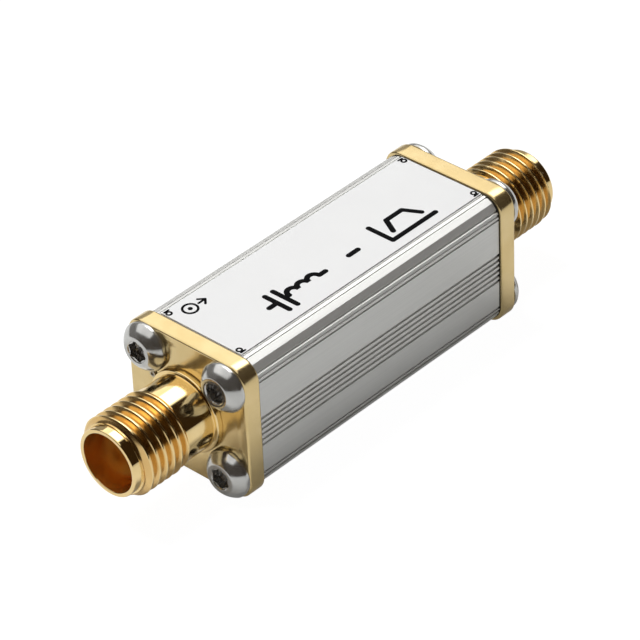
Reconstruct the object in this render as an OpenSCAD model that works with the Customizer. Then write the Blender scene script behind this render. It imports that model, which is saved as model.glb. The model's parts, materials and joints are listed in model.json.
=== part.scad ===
// In-line coaxial band-pass filter: an extruded square tube closed by two
// screwed end plates, with a threaded female jack on each plate and the
// resonator board slid into the tube. The jack axis runs along X.
// All sizes are in millimetres. The origin is under the middle of the part.

/* [Housing] */
// Length of the extruded tube
tube_len = 25.3; // [22:0.1:60]
// Thickness of the tube wall
wall = 1.1; // [0.9:0.05:1.2]
// Radius of the four long edges of the tube
tube_corner_r = 1.45; // [1.2:0.05:1.7]
// Number of grooves in each ribbed side
groove_count = 6; // [2:1:8]
// Distance from one side groove to the next
groove_pitch = 0.45; // [0.4:0.05:0.6]
// How far the middle of the grooves lies below the jack axis
groove_drop = 0.33; // [0:0.01:0.5]
// Width of a side groove at the surface
groove_w = 0.28; // [0.2:0.02:0.36]
// Depth of a side groove
groove_depth = 0.22; // [0.1:0.02:0.3]
// Width of the fine lines along the rounded edges
edge_line_w = 0.17; // [0.1:0.01:0.2]
// Depth of the fine lines along the rounded edges
edge_line_depth = 0.13; // [0.05:0.01:0.16]
// Half angle of the flat band along each rounded edge
edge_flat_angle = 11.5; // [8:0.5:13]
// Depth of the slots that hold the board
slot_depth = 0.4; // [0.3:0.05:0.5]

/* [End plates] */
// How far a plate stands out past the tube, on each side
plate_lip = 0.2; // [0.1:0.05:0.5]
// Thickness of a plate
plate_t = 1.5; // [1.2:0.1:3]
// Radius of the plate corners
plate_corner_r = 1.5; // [1.2:0.1:1.8]
// Bevel around both faces of a plate
plate_bevel = 0.18; // [0.05:0.01:0.25]
// Radius of the clearance holes for the screws
plate_hole_r = 1.1; // [1.05:0.05:1.2]
// Thickness of the dark gasket between a plate and the tube
gasket_t = 0.1; // [0.05:0.01:0.3]

/* [Screws] */
// Gap between a screw head and the jack's collar
head_gap = 0.083; // [0.05:0.001:0.6]
// Radius of the screw thread
screw_r = 1; // [0.8:0.05:1]
// Length of a screw under its head
screw_len = 5; // [4:0.5:8]
// Radius of the button head, whose edge is flush with the sides of the plate
head_r = 1.9; // [1.7:0.05:2.2]
// Height of the button head
head_h = 1.1; // [1:0.05:1.4]
// Height of the straight edge under the dome
head_edge_h = 0.3; // [0.1:0.05:0.4]
// Radius of the flat on top of the dome
head_flat_r = 1.15; // [1.05:0.05:1.3]
// Reach of the lobes of the socket
socket_r = 0.82; // [0.7:0.02:0.86]
// Number of lobes of the socket
socket_lobes = 6; // [5:1:6]
// Depth of the socket
socket_depth = 0.65; // [0.4:0.05:0.8]
// Bevel around the mouth of the socket
socket_bevel = 0.08; // [0.04:0.01:0.1]

/* [Jacks] */
// Length of a jack from the plate to its mouth
jack_len = 8; // [7.4:0.1:12]
// Outside diameter of the coupling thread
thread_od = 6.35; // [6.2:0.01:6.5]
// Threads in one inch
threads_per_inch = 36; // [32:1:40]
// Number of full threads
thread_turns = 6; // [4:1:7]
// Depth of the thread
thread_depth = 0.43; // [0.3:0.01:0.45]
// Length of the smooth nose in front of the thread
nose_len = 0.7; // [0.4:0.05:1.2]
// Radius of the smooth nose
nose_r = 2.64; // [2.55:0.01:2.7]
// Radius of the smooth neck behind the thread
neck_r = 2.95; // [2.8:0.05:3]
// Radius of the collar against the plate
collar_r = 3.25; // [3.1:0.05:4]
// Thickness of the collar
collar_t = 0.35; // [0.2:0.05:1]
// Radius of the spigot that goes through the plate
spigot_r = 2.9; // [2.8:0.05:3]
// Radius of the mating bore in the mouth
bore_r = 2.31; // [2.3:0.01:2.35]
// Depth of the mating bore
bore_depth = 3.4; // [1.9:0.1:3.6]
// Radius of the bore behind the mating bore
inner_bore_r = 2.05; // [1.95:0.05:2.1]
// Bevel on the turned edges of a jack
jack_bevel = 0.1; // [0.05:0.01:0.12]

/* [Contacts and insulators] */
// How far the insulator's face lies behind the mating bore
insulator_set_back = 0.15; // [0.1:0.05:1]
// Radius of the insulator's rear flange
insulator_flange_r = 2.3; // [2.2:0.05:2.5]
// Depth of the rear flange inside the jack
insulator_flange_depth = 0.8; // [0.5:0.1:1]
// How far the insulator stands into the tube
insulator_back = 0.6; // [0.3:0.1:0.8]
// How far the contact's tip lies behind the mating bore
contact_set_back = 0.05; // [0.02:0.01:0.3]
// Radius of the contact
contact_r = 0.635; // [0.6:0.005:0.75]
// Radius of the hole in the contact
contact_bore_r = 0.47; // [0.4:0.01:0.5]
// Depth of the hole in the contact
contact_bore_depth = 2.6; // [2:0.1:3]
// Width of the slots in the contact
contact_slot_w = 0.15; // [0.1:0.01:0.2]
// Length of the slots in the contact
contact_slot_len = 1.6; // [1:0.1:1.8]
// Radius of the contact's tail
tail_r = 0.4; // [0.3:0.05:0.45]
// Length of the tail inside the tube
tail_len = 3; // [2.4:0.1:3.4]
// Radius of the locating pin
pin_r = 0.3; // [0.2:0.01:0.3]
// Width of the countersink around the locating pin
pin_sink = 0.1; // [0.05:0.01:0.12]
// How far the locating pin stands out of the plate
pin_out = 0.12; // [0.05:0.01:0.2]
// Height of the locating pin above the jack axis
pin_up = 1.5; // [1.45:0.01:1.55]
// Sideways distance of the locating pin from the jack axis
pin_side = 3.3; // [3.28:0.01:3.4]

/* [Board] */
// Thickness of the board
board_t = 0.8; // [0.6:0.1:1]
// Thickness of the copper lands
land_t = 0.05; // [0.03:0.01:0.1]
// Length of the two end lands
end_land_len = 3.4; // [3:0.1:4]
// Gap between two lands
land_gap = 0.8; // [0.6:0.05:0.9]
// Length of a chip capacitor
chip_len = 1.6; // [1.4:0.1:2]
// Width and height of a chip capacitor
chip_w = 0.8; // [0.6:0.05:0.9]
// Length of a chip's metal end
chip_end_len = 0.3; // [0.2:0.05:0.4]
// Radius of the coil wire
wire_r = 0.22; // [0.15:0.01:0.24]
// Gap between the top of a coil and the level of the screw bosses
coil_room = 0.35; // [0.2:0.05:0.6]
// Number of turns in a coil
coil_turns = 5; // [3:1:5]
// Distance from one turn to the next
coil_pitch = 0.62; // [0.55:0.01:0.64]

/* [Label] */
// Thickness of the label
label_t = 0.1; // [0.05:0.01:0.12]
// Bare margin between the label and each edge line
label_side_margin = 0.07; // [0.03:0.01:0.3]
// Bare margin between the label and each end of the tube
label_end_margin = 0.03; // [0.02:0.01:0.4]
// Thickness of the print
print_t = 0.02; // [0.01:0.005:0.04]
// Height of the large symbols
symbol_h = 2.75; // [2:0.05:3]
// Width of the strokes in the large symbols
stroke_w = 0.42; // [0.3:0.02:0.5]
// Distance of the large symbols' lower edge from the label's near edge
symbol_margin = 0.8; // [0.5:0.05:1]
// Distance from the label's front end to the large symbols
symbol_start = 4.95; // [4.5:0.05:6]
// Distance from the large symbols to the label's rear end
symbol_end = 3.65; // [1:0.05:4]
// Length of the resonator symbol
resonator_len = 6.2; // [5:0.1:6.6]
// Length of the response symbol
response_len = 5; // [4:0.1:5.4]
// Length of the dash between the large symbols
dash_len = 1.4; // [0.8:0.1:1.8]
// Radius of the port symbol's ring
port_sign_r = 0.56; // [0.4:0.02:0.6]
// Distance of the port symbol's middle from the label's front end and far edge
port_sign_inset = [1.65, 1.2];
// Width of the strokes in the port symbol
fine_stroke_w = 0.18; // [0.1:0.02:0.2]
// Radius of the ring in a corner mark
mark_r = 0.19; // [0.1:0.01:0.22]
// Distance of the ring's middle from the label's end and side
mark_inset = [0.3, 0.46];
// Length of the bar in a corner mark
mark_bar_len = 0.42; // [0.3:0.02:0.6]

/* [Hidden] */
$fn = 64;

eps = 0.01;
fit_gap = 0.01;
screw_gap = 0.03;
board_gap = 0.05;
boss_wall = 0.42;
flank_angle = 30;
cut_floor = 0.04;
ring_sides = 8;
coil_steps = 16;

gold = [0.85, 0.66, 0.32];
dark_gold = [0.72, 0.5, 0.2];
satin_aluminium = [0.78, 0.79, 0.79];
steel = [0.6, 0.61, 0.62];
paper_white = [0.96, 0.96, 0.95];
ink = [0.04, 0.04, 0.04];
ptfe_white = [0.93, 0.92, 0.88];
board_green = [0.1, 0.35, 0.2];
copper = [0.8, 0.5, 0.3];
ceramic = [0.72, 0.6, 0.44];
tin = [0.75, 0.76, 0.77];
gasket_black = [0.08, 0.08, 0.08];

screw_pos = (collar_r + head_gap + head_r) / sqrt(2);
plate_w = 2 * (screw_pos + head_r);
tube_w = plate_w - 2 * plate_lip;
tube_half = tube_w / 2;
edge_centre = tube_half - tube_corner_r;
edge_line_angles = [0, 14.5, 45 - edge_flat_angle, 45 + edge_flat_angle, 75.5, 90];
bay_half = tube_half - wall;
axis_h = plate_w / 2;
plate_face = tube_len / 2 + gasket_t + plate_t;
port_r = screw_r + screw_gap;
boss_r = port_r + boss_wall;
dome_drop = (pow(head_flat_r, 2) + pow(head_h, 2) - pow(head_r, 2) - pow(head_edge_h, 2))
    / (2 * (head_h - head_edge_h));
dome_r = sqrt(pow(head_r, 2) + pow(head_edge_h - dome_drop, 2));

thread_r = thread_od / 2;
thread_pitch = 25.4 / threads_per_inch;
thread_root_r = thread_r - thread_depth;
thread_start = jack_len - nose_len - thread_turns * thread_pitch;
flank_run = thread_depth * tan(flank_angle);
root_flat = thread_pitch / 7;
bore_end = jack_len - bore_depth;

board_top = -tail_r - land_t - fit_gap;
board_len = tube_len - 2 * (insulator_back + 0.1);
board_w = 2 * (bay_half + slot_depth - board_gap);
land_top = board_top + land_t;
coil_r = (screw_pos - boss_r - coil_room - land_top) / 2 - wire_r;
cell_len = (board_len - 2 * end_land_len) / 3;
rail_w = 1.3;
end_land_w = 1.8;
rail_edge = board_w / 2 - slot_depth - 0.1;
cell_land_low = -1.2;
cell_land_high = 0.75;
coil_start = 0.3;
joint_len = 1.6;

label_len = tube_len - 2 * label_end_margin;
label_w = 2 * (edge_centre - edge_line_w / 2 - label_side_margin);
label_base = axis_h + tube_half;
print_base = label_base + label_t;
mark_w = 0.8 * fine_stroke_w;

// Places a shape made along +Z on the outside of the front plate, with +X up
module front_end() {
    translate([-plate_face, 0, axis_h])
        rotate([0, -90, 0])
            children();
}

module rear_end() {
    rotate([0, 0, 180])
        front_end()
            children();
}

module on_axis() {
    translate([0, 0, axis_h])
        children();
}

// Copies a shape to the four screw positions
module at_screws() {
    for (x = [-1, 1], y = [-1, 1])
        translate([x * screw_pos, y * screw_pos])
            children();
}

// Square with round corners, centred on the origin
module rounded_square(w, r) {
    square([w - 2 * r, w], center = true);
    square([w, w - 2 * r], center = true);
    for (x = [-1, 1], y = [-1, 1])
        translate([x * (w / 2 - r), y * (w / 2 - r)])
            circle(r);
}

// Plate with round corners and a bevel around both faces, from z = 0 up
module bevelled_plate(w, r, t, b) {
    side = [[-w / 2 + b, 0], [w / 2 - b, 0], [w / 2, b], [w / 2, t - b],
        [w / 2 - b, t], [-w / 2 + b, t], [-w / 2, t - b], [-w / 2, b]];
    for (turn = [0, 90])
        rotate([0, 0, turn])
            translate([0, w / 2 - r, 0])
                rotate([90, 0, 0])
                    linear_extrude(w - 2 * r)
                        polygon(side);
    for (x = [-1, 1], y = [-1, 1])
        translate([x * (w / 2 - r), y * (w / 2 - r), 0])
            rotate_extrude()
                polygon([[0, 0], [r - b, 0], [r, b], [r, t - b], [r - b, t], [0, t]]);
}

// V-shaped cut that opens towards +Y at the origin
module v_cut(w, depth) {
    polygon([[-w / 2 - eps, eps], [-w / 2, 0], [-cut_floor / 2, -depth], [cut_floor / 2, -depth],
        [w / 2, 0], [w / 2 + eps, eps]]);
}

// Fine lines and the flat band on one rounded edge of the tube
module edge_cuts() {
    translate([edge_centre, edge_centre]) {
        rotate(-45)
            translate([-tube_corner_r, tube_corner_r * cos(edge_flat_angle)])
                square([2 * tube_corner_r, tube_corner_r]);
        for (a = edge_line_angles)
            rotate(-a)
                translate([0, tube_corner_r])
                    v_cut(edge_line_w, edge_line_depth);
    }
}

// Section of the tube, with X across and Y up
module tube_section() {
    difference() {
        rounded_square(tube_w, tube_corner_r);
        difference() {
            square(2 * bay_half, center = true);
            at_screws()
                circle(boss_r);
        }
        at_screws()
            circle(port_r);
        translate([0, board_top - board_t / 2])
            square([2 * (bay_half + slot_depth), board_t + 2 * board_gap], center = true);
        for (turn = [0:90:270])
            rotate(turn)
                edge_cuts();
        translate([0, -groove_drop])
            for (side = [-90, 90], i = [0:groove_count - 1])
                rotate(side)
                    translate([(i - (groove_count - 1) / 2) * groove_pitch, tube_half])
                        v_cut(groove_w, groove_depth);
    }
}

module housing() {
    color(satin_aluminium)
        translate([-tube_len / 2, 0, axis_h])
            rotate([90, 0, 90])
                linear_extrude(tube_len)
                    tube_section();
}

// End plate: outer face at z = 0, inner face at z = -plate_t
module end_plate() {
    color(gold)
        difference() {
            translate([0, 0, -plate_t])
                bevelled_plate(plate_w, plate_corner_r, plate_t, plate_bevel);
            translate([0, 0, -plate_t - eps])
                cylinder(r = spigot_r + fit_gap, h = plate_t + 2 * eps);
            translate([0, 0, -plate_t - eps])
                at_screws()
                    cylinder(r = plate_hole_r, h = plate_t + 2 * eps);
            translate([pin_up, pin_side, -plate_t - eps])
                cylinder(r = pin_r + fit_gap, h = plate_t + 2 * eps);
            translate([pin_up, pin_side, -pin_sink])
                cylinder(r1 = pin_r, r2 = pin_r + pin_sink + eps, h = pin_sink + eps);
        }
}

module front_plate() {
    front_end()
        end_plate();
}

module rear_plate() {
    rear_end()
        end_plate();
}

// Thin frame between the tube's end and a plate
module gasket() {
    color(gasket_black)
        translate([0, 0, -plate_t - gasket_t])
            linear_extrude(gasket_t)
                difference() {
                    rounded_square(tube_w, tube_corner_r);
                    square(2 * bay_half, center = true);
                    at_screws()
                        circle(port_r);
                }
}

module front_gasket() {
    front_end()
        gasket();
}

module rear_gasket() {
    rear_end()
        gasket();
}

// Outline of the lobed socket
module socket_outline() {
    lobe_r = 0.24 * socket_r;
    circle(0.74 * socket_r);
    for (i = [0:socket_lobes - 1])
        rotate(i * 360 / socket_lobes)
            translate([socket_r - lobe_r, 0])
                circle(lobe_r, $fn = 24);
}

// Button-head screw with a lobed socket, seated at z = 0
module button_screw() {
    tip_bevel = 0.2;
    difference() {
        union() {
            intersection() {
                cylinder(r = head_r, h = head_h);
                translate([0, 0, dome_drop])
                    sphere(dome_r);
            }
            rotate_extrude()
                polygon([[0, 0], [0, -screw_len], [screw_r - tip_bevel, -screw_len],
                    [screw_r, -screw_len + tip_bevel], [screw_r, 0]]);
        }
        translate([0, 0, head_h - socket_depth])
            linear_extrude(socket_depth + eps)
                socket_outline();
        translate([0, 0, head_h - socket_bevel])
            cylinder(r1 = socket_r, r2 = socket_r + socket_bevel + eps, h = socket_bevel + eps);
        translate([0, 0, head_h - socket_depth - socket_r / 3])
            cylinder(r1 = 0, r2 = 0.7 * socket_r, h = socket_r / 3 + eps);
    }
}

module plate_screws() {
    color(steel)
        at_screws()
            button_screw();
}

module front_plate_screws() {
    front_end()
        plate_screws();
}

module rear_plate_screws() {
    rear_end()
        plate_screws();
}

// One thread ridge, as the points of a revolved outline
function ridge(z) = [
    [thread_root_r, z + root_flat / 2],
    [thread_r, z + root_flat / 2 + flank_run],
    [thread_r, z + thread_pitch - root_flat / 2 - flank_run],
    [thread_root_r, z + thread_pitch - root_flat / 2]
];

// Jack shell: collar on the plate at z = 0, mouth at z = jack_len
module jack() {
    ridges = [for (i = [0:thread_turns - 1]) each ridge(thread_start + i * thread_pitch)];
    outline = concat(
        [
            [inner_bore_r, insulator_flange_depth - plate_t],
            [insulator_flange_r, insulator_flange_depth - plate_t],
            [insulator_flange_r, -plate_t],
            [spigot_r, -plate_t],
            [spigot_r, 0],
            [collar_r, 0],
            [collar_r, collar_t - jack_bevel],
            [collar_r - jack_bevel, collar_t],
            [neck_r, collar_t],
            [neck_r, thread_start],
            [thread_root_r, thread_start]
        ],
        ridges,
        [
            [thread_root_r, jack_len - nose_len],
            [nose_r, jack_len - nose_len],
            [nose_r, jack_len - jack_bevel],
            [nose_r - jack_bevel, jack_len],
            [bore_r, jack_len],
            [bore_r, bore_end],
            [inner_bore_r, bore_end]
        ]
    );
    color(gold)
        rotate_extrude()
            polygon(outline);
}

module front_jack() {
    front_end()
        jack();
}

module rear_jack() {
    rear_end()
        jack();
}

// White sleeve between the jack and its contact, held by its rear flange
module insulator() {
    back = -plate_t - insulator_back;
    color(ptfe_white)
        difference() {
            union() {
                translate([0, 0, back])
                    cylinder(r = inner_bore_r - fit_gap, h = bore_end - insulator_set_back - back);
                translate([0, 0, back])
                    cylinder(r = insulator_flange_r - fit_gap,
                        h = insulator_back + insulator_flange_depth - fit_gap);
            }
            translate([0, 0, -plate_t])
                cylinder(r = contact_r + fit_gap, h = jack_len + plate_t);
            translate([0, 0, back - eps])
                cylinder(r = tail_r + fit_gap, h = insulator_back + 2 * eps);
        }
}

module front_insulator() {
    front_end()
        insulator();
}

module rear_insulator() {
    rear_end()
        insulator();
}

// Female contact with four springing fingers and a thin tail for the board
module contact() {
    tip = bore_end - contact_set_back;
    slot_d = 2 * contact_r + 1;
    color(dark_gold)
        difference() {
            union() {
                translate([0, 0, -plate_t + fit_gap])
                    cylinder(r = contact_r, h = tip + plate_t - fit_gap);
                translate([0, 0, -plate_t - tail_len])
                    cylinder(r = tail_r, h = tail_len + 2 * fit_gap);
            }
            translate([0, 0, tip - contact_bore_depth])
                cylinder(r = contact_bore_r, h = contact_bore_depth + eps);
            for (turn = [0, 90])
                rotate([0, 0, turn])
                    translate([-contact_slot_w / 2, -slot_d / 2, tip - contact_slot_len])
                        cube([contact_slot_w, slot_d, contact_slot_len + eps]);
        }
}

module front_contact() {
    front_end()
        contact();
}

module rear_contact() {
    rear_end()
        contact();
}

// Short pin with a dimple, pressed through the plate beside the jack
module locating_pin() {
    dimple_r = pin_r * 0.5;
    color(tin)
        translate([pin_up, pin_side, 0])
            difference() {
                translate([0, 0, -plate_t])
                    cylinder(r = pin_r, h = plate_t + pin_out);
                translate([0, 0, pin_out - dimple_r])
                    cylinder(r1 = 0, r2 = dimple_r, h = dimple_r + eps);
            }
}

module front_locating_pin() {
    front_end()
        locating_pin();
}

module rear_locating_pin() {
    rear_end()
        locating_pin();
}

module circuit_board() {
    color(board_green)
        on_axis()
            translate([-board_len / 2, -board_w / 2, board_top - board_t])
                cube([board_len, board_w, board_t]);
}

// Flat land from corner a to corner b, on top of the board
module land(a, b) {
    translate([a[0], a[1], board_top])
        cube([b[0] - a[0], b[1] - a[1], land_t]);
}

module copper_lands() {
    inner = 1.5 * cell_len + land_gap / 2;
    outer = board_len / 2 - 0.2;
    color(copper)
        on_axis() {
            for (side = [0, 180])
                rotate([0, 0, side])
                    land([inner, -end_land_w / 2], [outer, end_land_w / 2]);
            for (i = [-1:1])
                land([(i - 0.5) * cell_len + land_gap / 2, cell_land_low],
                    [(i + 0.5) * cell_len - land_gap / 2, cell_land_high]);
            for (side = [0, 180])
                rotate([0, 0, side])
                    land([-outer, rail_edge - rail_w], [outer, rail_edge]);
            for (i = [-1:1])
                land([i * cell_len - 0.6, cell_land_low - land_gap - 1.4],
                    [i * cell_len + 0.6, cell_land_low - land_gap]);
        }
}

// Point on the middle line of a coil's wire, after an angle in degrees
function coil_point(a) = [coil_r * sin(a), coil_pitch * a / 360, -coil_r * cos(a)];
function coil_out(a) = [sin(a), 0, -cos(a)];
function coil_run(a) = [coil_r * cos(a) * PI / 180, coil_pitch / 360, coil_r * sin(a) * PI / 180];
function coil_along(a) = coil_run(a) / norm(coil_run(a));

// Air-cored coil wound along Y, standing on the lands by its lowest points
module coil(i) {
    rings = coil_turns * coil_steps;
    points = [for (n = [0:rings], k = [0:ring_sides - 1])
        let (a = n * 360 / coil_steps, out = coil_out(a), across = cross(coil_along(a), out),
            b = k * 360 / ring_sides)
        coil_point(a) + wire_r * (cos(b) * out + sin(b) * across)];
    sides = [for (n = [0:rings - 1], k = [0:ring_sides - 1])
        let (m = (k + 1) % ring_sides)
        [n * ring_sides + k, n * ring_sides + m, (n + 1) * ring_sides + m, (n + 1) * ring_sides + k]];
    start_cap = [[for (k = [ring_sides - 1:-1:0]) k]];
    end_cap = [[for (k = [0:ring_sides - 1]) rings * ring_sides + k]];
    color(copper)
        on_axis()
            translate([i * cell_len, coil_start, land_top + coil_r + wire_r + fit_gap])
                polyhedron(points, concat(sides, start_cap, end_cap));
}

module front_coil() {
    coil(-1);
}

module middle_coil() {
    coil(0);
}

module rear_coil() {
    coil(1);
}

// Chip capacitor along X, centred, standing on z = 0
module chip() {
    cap_step = 0.02;
    color(ceramic)
        translate([-chip_len / 2 + eps, -chip_w / 2 + cap_step, cap_step])
            cube([chip_len - 2 * eps, chip_w - 2 * cap_step, chip_w - 2 * cap_step]);
    color(tin)
        for (side = [0, 180])
            rotate([0, 0, side])
                translate([chip_len / 2 - chip_end_len, -chip_w / 2, 0])
                    cube([chip_end_len, chip_w, chip_w]);
}

module tuning_capacitors() {
    on_axis()
        for (i = [-1:1])
            translate([i * cell_len, cell_land_low - land_gap / 2, land_top])
                rotate([0, 0, 90])
                    chip();
}

module coupling_capacitors() {
    on_axis()
        for (i = [-1.5:1:1.5])
            translate([i * cell_len, 0, land_top])
                chip();
}

// Solder mound around a contact's tail on its end land
module solder_joint() {
    middle = -plate_t - tail_len + joint_len / 2 + 0.2;
    color(tin)
        difference() {
            intersection() {
                for (up = [0, 180])
                    translate([0, 0, middle])
                        rotate([up, 0, 0])
                            cylinder(r1 = 2 * tail_r, r2 = tail_r + 0.15, h = joint_len / 2);
                translate([land_top, -2, middle - joint_len])
                    cube([2, 4, 2 * joint_len]);
            }
            translate([0, 0, middle - joint_len])
                cylinder(r = tail_r + 2 * fit_gap, h = 2 * joint_len);
        }
}

module front_solder_joint() {
    front_end()
        solder_joint();
}

module rear_solder_joint() {
    rear_end()
        solder_joint();
}

module label() {
    color(paper_white)
        translate([-label_len / 2, -label_w / 2, label_base])
            cube([label_len, label_w, label_t]);
}

// Straight stroke with round ends
module stroke(a, b, w) {
    run = b - a;
    translate(a)
        rotate(atan2(run[1], run[0])) {
            translate([0, -w / 2])
                square([norm(run), w]);
            circle(w / 2);
            translate([norm(run), 0])
                circle(w / 2);
        }
}

// Stroke along an arc around the origin, of 180 degrees or less
module arc_stroke(r, from, to, w) {
    far = 3 * r;
    middle = (from + to) / 2;
    intersection() {
        difference() {
            circle(r + w / 2);
            circle(r - w / 2);
        }
        polygon([[0, 0], far * [cos(from), sin(from)], far * [cos(middle), sin(middle)],
            far * [cos(to), sin(to)]]);
    }
}

// Two plates and a three-turn coil on one line: a series resonator sign
module resonator_sign(w, len) {
    half_h = symbol_h / 2 - w / 2;
    half_len = len / 2 - w / 2;
    plate_x = [-0.72 * half_len, -0.44 * half_len];
    coil_x = -0.3 * half_len;
    bump = 0.18 * half_len;
    stroke([-half_len, 0], [plate_x[0], 0], w);
    for (x = plate_x)
        stroke([x, -half_h], [x, half_h], w);
    stroke([plate_x[1], 0], [coil_x, 0], w);
    for (i = [0:2])
        translate([coil_x + (2 * i + 1) * bump, 0])
            arc_stroke(bump, 0, 180, w);
    stroke([coil_x + 6 * bump, 0], [half_len, 0], w);
}

// Frame corner with a pass band drawn in it: a response sign
module response_sign(w, len) {
    half_h = symbol_h / 2 - w / 2;
    half_w = len / 2 - w / 2;
    top = 0.75 * half_h;
    foot = -0.35 * half_h;
    curve = [[-0.62 * half_w, foot], [-0.32 * half_w, top], [0.42 * half_w, top], [0.72 * half_w, foot]];
    stroke([-half_w, half_h], [-half_w, -half_h], w);
    stroke([-half_w, -half_h], [half_w, -half_h], w);
    for (i = [0:2])
        stroke(curve[i], curve[i + 1], w);
}

// Ring with a dot and an arrow: a coaxial port sign
module port_sign(w, r) {
    tail = 1.5 * r;
    point = 2.7 * r;
    barb = [2 * r, 0.7 * r];
    for (start = [0, 180])
        arc_stroke(r, start, start + 180, w);
    circle(w);
    stroke([tail, 0], [point, 0], w);
    for (side = [-1, 1])
        stroke([barb[0], side * barb[1]], [point, 0], w);
}

module label_print() {
    front = -label_len / 2;
    resonator_end = front + symbol_start + resonator_len;
    response_start = label_len / 2 - symbol_end - response_len;
    middle = -label_w / 2 + symbol_margin + symbol_h / 2;
    color(ink)
        translate([0, 0, print_base])
            linear_extrude(print_t) {
                translate([resonator_end - resonator_len / 2, middle])
                    resonator_sign(stroke_w, resonator_len);
                translate([(resonator_end + response_start) / 2, middle])
                    stroke([-dash_len / 2 + stroke_w / 2, 0], [dash_len / 2 - stroke_w / 2, 0], stroke_w);
                translate([response_start + response_len / 2, middle])
                    response_sign(stroke_w, response_len);
                translate([front + port_sign_inset[0], label_w / 2 - port_sign_inset[1]])
                    port_sign(fine_stroke_w, port_sign_r);
            }
}

// Small ring and bar printed at each corner of the label
module corner_marks() {
    bar_inset = 0.08 + mark_w / 2;
    bar = [[-bar_inset - mark_bar_len, -bar_inset], [-bar_inset, -bar_inset]];
    color(ink)
        translate([0, 0, print_base])
            linear_extrude(print_t)
                for (x = [0, 1], y = [0, 1])
                    mirror([x, 0])
                        mirror([0, y])
                            translate([label_len / 2, label_w / 2]) {
                                for (start = [0, 180])
                                    translate(-mark_inset)
                                        arc_stroke(mark_r, start, start + 180, mark_w);
                                stroke(bar[0], bar[1], mark_w);
                            }
}

housing();
label();
label_print();
corner_marks();
front_plate();
rear_plate();
front_plate_screws();
rear_plate_screws();
front_jack();
rear_jack();
front_insulator();
rear_insulator();
front_contact();
rear_contact();
front_gasket();
rear_gasket();
front_locating_pin();
rear_locating_pin();
circuit_board();
copper_lands();
front_coil();
middle_coil();
rear_coil();
tuning_capacitors();
coupling_capacitors();
front_solder_joint();
rear_solder_joint();
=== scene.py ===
"""Looks of the in-line coaxial filter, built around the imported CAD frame.

Sizes are in millimetres and repeat the named values of the CAD source. A few fine ones are this scene's
own, nearer to the photograph: the side grooves, the edge lines, the collar, the roundings and the screw
sockets. The jack axis runs along X, and z = 0 is the surface that the end plates stand on.
"""

import json
import math

import bmesh
import bpy
from mathutils import Matrix, Vector
from mathutils.geometry import tessellate_polygon


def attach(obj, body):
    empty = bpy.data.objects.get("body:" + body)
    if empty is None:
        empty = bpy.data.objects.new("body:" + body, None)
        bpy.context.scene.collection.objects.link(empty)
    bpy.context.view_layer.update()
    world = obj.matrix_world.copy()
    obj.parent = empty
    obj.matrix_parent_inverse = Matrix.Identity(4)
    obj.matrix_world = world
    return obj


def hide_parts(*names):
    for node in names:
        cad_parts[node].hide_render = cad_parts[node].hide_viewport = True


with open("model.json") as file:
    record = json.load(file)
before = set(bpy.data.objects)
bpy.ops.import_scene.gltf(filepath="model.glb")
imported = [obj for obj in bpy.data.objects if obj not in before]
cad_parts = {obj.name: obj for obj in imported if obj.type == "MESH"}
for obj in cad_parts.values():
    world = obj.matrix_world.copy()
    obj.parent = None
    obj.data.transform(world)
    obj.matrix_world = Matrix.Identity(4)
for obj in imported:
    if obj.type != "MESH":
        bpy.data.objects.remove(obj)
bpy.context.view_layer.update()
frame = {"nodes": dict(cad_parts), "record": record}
nodes = frame["nodes"]

MM = 0.001

# Outside of the tube; the middle of its grooves lies the drop under the jack axis
TUBE_LEN = 25.3
TUBE_CORNER_R = 1.45
GROOVE_COUNT = 6
GROOVE_PITCH = 0.45
GROOVE_DROP = 0.33
GROOVE_W = 0.26
GROOVE_DEPTH = 0.12
GROOVE_LEAN = 32
LIP_ROUND = 0.02

# Lines of a rounded edge: degrees from its flat face, width, depth, wall lean, and flat to the next one
EDGE_LINES = (
    (0, 0.1, 0.06, 5, False),
    (13.5, 0.1, 0.08, 5, True),
    (37.5, 0.0, 0.0, 0, True),
    (64.8, 0.22, 0.1, 42, False),
    (80, 0.22, 0.1, 38, False),
    (93, 0.17, 0.1, 5, False),
)

# Steps of a round stretch between two lines, and the degrees that it keeps clear of their lips
EDGE_STEPS = 3
EDGE_CLEAR = 1.0

# Inside of the tube: wall, board slots with their heights from the jack axis, and screw bosses
WALL = 1.1
SLOT_DEPTH = 0.4
BOARD_SLOT = (-1.31, -0.41)
PORT_GAP = 0.03
BOSS_WALL = 0.42
BOSS_STEPS = 16

# End plates and gaskets, whose near-black is painted shade in the seams; the lip is how far a plate stands
# out past the tube
GASKET_T = 0.1
PLATE_LIP = 0.2
PLATE_T = 1.5
PLATE_CORNER_R = 1.5
PLATE_ROUND = 0.18
PLATE_HOLE_R = 1.1
SPIGOT_HOLE_R = 2.91

# Locating pins and their dimples
PIN_R = 0.3
PIN_HOLE_R = 0.31
PIN_UP = 1.5
PIN_SIDE = 3.3
PIN_OUT = 0.12
PIN_SINK = 0.1
PIN_ROUND = 0.09
DIMPLE_R = 0.15
DIMPLE_WALL_R = 0.7 * DIMPLE_R
DIMPLE_WALL_H = 0.06
DIMPLE_DEPTH = 0.14

# Screws; the gap is the clearance between a head and the jack's collar
SCREW_R = 1.0
SCREW_LEN = 5.0
SCREW_TIP_BEVEL = 0.2
HEAD_GAP = 0.083
HEAD_R = 1.9
HEAD_H = 1.1
HEAD_EDGE_H = 0.3
HEAD_FLAT_R = 1.15
HEAD_FOOT_ROUND = 0.06
HEAD_EDGE_ROUND = 0.05
HEAD_FLAT_ROUND = 0.04

# Dome of a head: its points, its length in steps between them, and where in steps the first one lies
DOME_POINTS = 15
DOME_STEPS = 14.7
DOME_START = 0.4

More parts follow.
